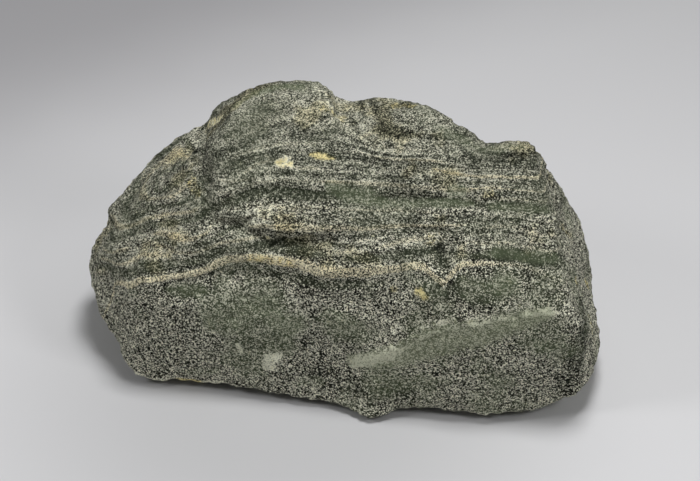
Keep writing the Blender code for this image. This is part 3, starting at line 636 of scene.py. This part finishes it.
class Nodes:
    """Adds nodes to a material and joins them up."""

    def __init__(self, tree):
        self.tree = tree

    def add(self, kind, inputs=(), **settings):
        node = self.tree.nodes.new(kind)
        for name, value in settings.items():
            setattr(node, name, value)
        for socket, value in dict(inputs).items():
            self.put(value, node.inputs[socket])
        return node

    def put(self, value, socket):
        if isinstance(value, bpy.types.NodeSocket):
            self.tree.links.new(value, socket)
        else:
            socket.default_value = value

    def math(self, operation, *values):
        node = self.add("ShaderNodeMath", operation=operation)
        for socket, value in zip(node.inputs, values):
            self.put(value, socket)
        return node.outputs[0]

    def plus(self, first, second):
        return self.math("ADD", first, second)

    def minus(self, first, second):
        return self.math("SUBTRACT", first, second)

    def times(self, first, second):
        return self.math("MULTIPLY", first, second)

    def larger(self, first, second):
        return self.math("MAXIMUM", first, second)

    def attribute(self, name):
        return self.add("ShaderNodeAttribute", attribute_name=name).outputs["Fac"]

    def place(self):
        return self.add("ShaderNodeTexCoord").outputs["Object"]

    def noise(self, vector, scale, detail, roughness):
        inputs = {"Vector": vector, "Scale": scale, "Detail": detail, "Roughness": roughness}
        return self.add("ShaderNodeTexNoise", inputs).outputs["Fac"]

    def noise_about_0(self, vector, scale, detail, roughness):
        return self.minus(self.noise(vector, scale, detail, roughness), 0.5)

    def ramp(self, factor, stops):
        node = self.add("ShaderNodeValToRGB", {"Fac": factor})
        elements = node.color_ramp.elements
        while len(elements) < len(stops):
            elements.new(1.0)
        for element, (position, shade) in zip(elements, stops):
            element.position = position
            element.color = (*shade, 1.0)
        return node.outputs["Color"]

    def step(self, value, low, high):
        """0 at low and before it, 1 at high and beyond it, and smooth between."""
        node = self.add(
            "ShaderNodeMapRange",
            {"Value": value, "From Min": low, "From Max": high},
            interpolation_type="SMOOTHSTEP",
        )
        return node.outputs["Result"]

    def mix(self, factor, first, second, blend="MIX"):
        node = self.add("ShaderNodeMix", data_type="RGBA", blend_type=blend)
        self.put(factor, node.inputs["Factor"])
        self.put(first, node.inputs[MIX_FIRST])
        self.put(second, node.inputs[MIX_SECOND])
        return node.outputs[MIX_RESULT]

    def tinted(self, factor, shade, tint):
        """The shade, multiplied by the tint as far as the factor says."""
        return self.mix(factor, shade, self.mix(1.0, shade, rgba(tint), "MULTIPLY"))


def rgba(shade):
    return (*shade, 1.0)


def streaks_along(nodes, place, bed):
    """Fine streaks that follow the beds, about 0."""
    split = nodes.add("ShaderNodeSeparateXYZ", {"Vector": place})
    waver = nodes.noise_about_0(place, *NOISES["waver"])
    wavering = nodes.plus(bed, nodes.times(waver, STREAK_WAVER))
    total = 0.0
    for along, across, strength in STREAKS:
        stretched = nodes.add(
            "ShaderNodeCombineXYZ",
            {
                "X": nodes.times(split.outputs["X"], along),
                "Y": nodes.times(split.outputs["Y"], along),
                "Z": nodes.times(wavering, across),
            },
        )
        streak = nodes.noise_about_0(stretched.outputs["Vector"], 1.0, 1.0, 0.5)
        total = nodes.plus(total, nodes.times(streak, strength))
    return total


def sandstone_material(settings):
    """Salt-and-pepper sand grains, sorted paler and darker by the beds, with green, pale and ochre patches."""
    material = bpy.data.materials.new("sandstone")
    material.use_nodes = True
    nodes = Nodes(material.node_tree)
    shader = material.node_tree.nodes["Principled BSDF"]
    place = nodes.place()
    bed = nodes.attribute("bed")
    lamina = nodes.attribute("lamina")
    bedded = nodes.step(bed, *BEDDED_FROM)
    topmost = nodes.step(bed, *TOPMOST_FROM)
    drifts = nodes.noise(place, *NOISES["drifts"])
    drifted = nodes.step(nodes.plus(drifts, nodes.times(nodes.attribute("green"), DRIFT_HELP)), *DRIFT_EDGE)
    # How much of each thing there is at a place, by name.
    shares = {name: nodes.noise_about_0(place, *NOISES[name]) for name in ("clouds", "ragged")}
    shares |= {"lamina": lamina, "bedded": bedded, "topmost": topmost, "drifted": drifted}

    off = nodes.math("ABSOLUTE", nodes.plus(nodes.attribute("cream_off"), nodes.times(shares["ragged"], CREAM_RAGGED)))
    cream = nodes.times(nodes.minus(1.0, nodes.step(off, *CREAM_EDGE)), nodes.attribute("cream_paleness"))
    shares["cream"] = cream
    for kind, (raggedness, share, low, high) in PATCH_EDGES.items():
        strength = nodes.plus(nodes.attribute(kind), nodes.times(shares[raggedness], share))
        shares[kind] = nodes.step(strength, low, high)
    shaded = nodes.times(nodes.step(lamina, *SHADED_FROM), SHADED_GREEN)
    shown_drifts = nodes.times(drifted, nodes.minus(1.0, nodes.times(bedded, DRIFT_HIDDEN)))
    shares["mossy"] = nodes.larger(shown_drifts, shaded)

    fine = nodes.add("ShaderNodeTexVoronoi", {"Vector": place, "Scale": 1 / settings.grain_size})
    coarse = nodes.add("ShaderNodeTexVoronoi", {"Vector": place, "Scale": COARSE_SCALE / settings.grain_size})
    fine_luck, coarse_luck = (
        nodes.add("ShaderNodeSeparateColor", {"Color": cells.outputs["Color"]}).outputs["Red"]
        for cells in (fine, coarse)
    )
    grain = nodes.plus(nodes.times(fine_luck, 1 - COARSE_SHARE), nodes.times(coarse_luck, COARSE_SHARE))
    contrast = GRAIN_CONTRAST
    for name, lost in CONTRAST_LOST.items():
        contrast = nodes.minus(contrast, nodes.times(shares[name], lost))
    grain = nodes.times(nodes.minus(grain, 0.5), contrast)

    strength = nodes.plus(STREAK_MASSIVE, nodes.times(bedded, STREAK_BEDDED))
    tone = nodes.minus(nodes.times(streaks_along(nodes, place, bed), strength), TONE_DROP)
    for name, weight in TONE_WEIGHTS.items():
        tone = nodes.plus(tone, nodes.times(shares[name], weight))
    stops = [(position, getattr(settings, name)) for position, name in GRAIN_SHADES]
    stone = nodes.ramp(nodes.plus(nodes.plus(grain, MIDDLE_TONE), tone), stops)

    cool = nodes.minus(1.0, nodes.larger(shares["mossy"], cream))
    stone = nodes.tinted(cool, stone, settings.cool_tint)
    for name, strength, stain in STAINS:
        stone = nodes.mix(nodes.times(shares[name], strength), stone, rgba(getattr(settings, stain)))
    warm = nodes.larger(cream, nodes.step(lamina, *WARM_FROM))
    stone = nodes.tinted(warm, stone, settings.warm_tint)
    rusty = nodes.times(nodes.step(drifts, *RUSTY_EDGE), nodes.times(bedded, RUSTY_SHARE))
    # The ochre tint also paints bounce light along the left foot.
    stone = nodes.tinted(nodes.larger(shares["ochre"], rusty), stone, settings.ochre_and_bounce_tint)
    nodes.put(stone, shader.inputs["Base Color"])
    shader.inputs["Roughness"].default_value = settings.roughness
    shader.inputs["Specular IOR Level"].default_value = STONE_SPECULAR

    grit = nodes.noise(place, *NOISES["grit"])
    height = nodes.minus(nodes.times(grit, GRIT_SHARE), fine.outputs["Distance"])
    bump = nodes.add(
        "ShaderNodeBump", {"Strength": GRAIN_BUMP, "Distance": settings.grain_relief, "Height": height}
    )
    nodes.put(bump.outputs["Normal"], shader.inputs["Normal"])
    return material


def sheet_material(settings):
    """A smooth pale sheet, with painted shade far behind the stone and round its foot."""
    material = bpy.data.materials.new("pale_sheet")
    material.use_nodes = True
    nodes = Nodes(material.node_tree)
    shader = material.node_tree.nodes["Principled BSDF"]
    place = nodes.place()
    split = nodes.add("ShaderNodeSeparateXYZ", {"Vector": place})
    uneven = nodes.times(nodes.noise(place, *NOISES["sheet"]), FAR_UNEVEN)
    away = nodes.minus(split.outputs["Y"], nodes.times(split.outputs["X"], FAR_SLANT))
    # Painted shade far behind the stone, where the light falls off.
    far_shade = nodes.step(nodes.plus(away, uneven), *FAR_SHADE_EDGE)
    shade = nodes.mix(far_shade, rgba(settings.sheet_colour), rgba(settings.shaded_far_sheet_colour))
    # Painted shade round the foot of the stone, strongest at its middle.
    reach = nodes.add("ShaderNodeVectorMath", {0: place, 1: PAINTED_SHADE_MIDDLE}, operation="DISTANCE").outputs["Value"]
    foot_shade_share = nodes.times(nodes.step(reach, *PAINTED_SHADE_EDGE), settings.painted_foot_shade)
    shade = nodes.mix(foot_shade_share, shade, (0, 0, 0, 1))
    nodes.put(shade, shader.inputs["Base Color"])
    shader.inputs["Roughness"].default_value = SHEET_ROUGHNESS
    shader.inputs["Specular IOR Level"].default_value = SHEET_SPECULAR
    return material


class SANDSTONE_OT_block(bpy.types.Operator):
    """Works up the sandstone block from its solid"""

    bl_idname = "sandstone.block"
    bl_label = "Sandstone Block"

    def execute(self, context):
        settings = context.scene.sandstone
        mesh = worked_surface(settings)
        mesh.name = "sandstone"
        mesh.materials.clear()
        mesh.materials.append(sandstone_material(settings))
        mesh.shade_smooth()
        block = bpy.data.objects.new("sandstone", mesh)
        context.scene.collection.objects.link(block)
        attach(block, "root")
        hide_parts(SOLID)
        return {"FINISHED"}


def add_lamp(context, name, power_in_watts, width, place):
    lamp = bpy.data.lights.new(name, "AREA")
    lamp.energy = power_in_watts
    lamp.shape = "SQUARE"
    lamp.size = width
    lit = bpy.data.objects.new(name, lamp)
    lit.location = place
    lit.rotation_euler = (LAMP_AIM - Vector(place)).to_track_quat("-Z", "Y").to_euler()
    context.scene.collection.objects.link(lit)


class SANDSTONE_OT_stage(bpy.types.Operator):
    """Lays the pale sheet, hangs the soft lights and sets the camera"""

    bl_idname = "sandstone.stage"
    bl_label = "Sheet, Light and Camera"

    def execute(self, context):
        settings = context.scene.sandstone_stage
        bm = bmesh.new()
        bmesh.ops.create_grid(bm, x_segments=1, y_segments=1, size=settings.sheet_width / 2)
        mesh = bpy.data.meshes.new("sheet")
        bm.to_mesh(mesh)
        bm.free()
        mesh.materials.append(sheet_material(settings))
        sheet = bpy.data.objects.new("sheet", mesh)
        context.scene.collection.objects.link(sheet)

        world = bpy.data.worlds.new("studio")
        world.use_nodes = True
        background = world.node_tree.nodes["Background"]
        background.inputs["Color"].default_value = (1, 1, 1, 1)
        background.inputs["Strength"].default_value = settings.sky_strength
        context.scene.world = world
        for name, setting, width, place in LAMPS:
            add_lamp(context, name, getattr(settings, setting), width, place)

        camera = bpy.data.cameras.new("camera")
        camera.sensor_width = SENSOR_WIDTH
        camera.lens = camera.sensor_width * settings.eye_distance / settings.picture_width
        camera.clip_start = 0.01
        camera.dof.use_dof = False
        eye = bpy.data.objects.new("camera", camera)
        looking = Vector((0, math.cos(settings.eye_slope), -math.sin(settings.eye_slope)))
        eye.location = EYE_AIM - looking * settings.eye_distance
        eye.rotation_euler = looking.to_track_quat("-Z", "Y").to_euler()
        context.scene.collection.objects.link(eye)
        context.scene.camera = eye
        context.scene.view_settings.view_transform = "Standard"
        return {"FINISHED"}


class SANDSTONE_PT_panel(bpy.types.Panel):
    """Lists the sizes and colours, and the steps that make the stone and its stage"""

    bl_label = "Sandstone Block"
    bl_idname = "SANDSTONE_PT_panel"
    bl_space_type = "VIEW_3D"
    bl_region_type = "UI"
    bl_category = "Sandstone"

    def draw(self, context):
        for group, operator in (("sandstone", SANDSTONE_OT_block), ("sandstone_stage", SANDSTONE_OT_stage)):
            settings = getattr(context.scene, group)
            box = self.layout.box()
            for name in settings.__annotations__:
                box.prop(settings, name)
            box.operator(operator.bl_idname)


CLASSES = (SandstoneSettings, StageSettings, SANDSTONE_OT_block, SANDSTONE_OT_stage, SANDSTONE_PT_panel)


def register():
    for cls in CLASSES:
        bpy.utils.register_class(cls)
    bpy.types.Scene.sandstone = bpy.props.PointerProperty(type=SandstoneSettings)
    bpy.types.Scene.sandstone_stage = bpy.props.PointerProperty(type=StageSettings)


def unregister():
    del bpy.types.Scene.sandstone_stage
    del bpy.types.Scene.sandstone
    for cls in reversed(CLASSES):
        bpy.utils.unregister_class(cls)


def main():
    register()
    bpy.ops.sandstone.block()
    bpy.ops.sandstone.stage()
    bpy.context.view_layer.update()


if __name__ == "__main__":
    main()
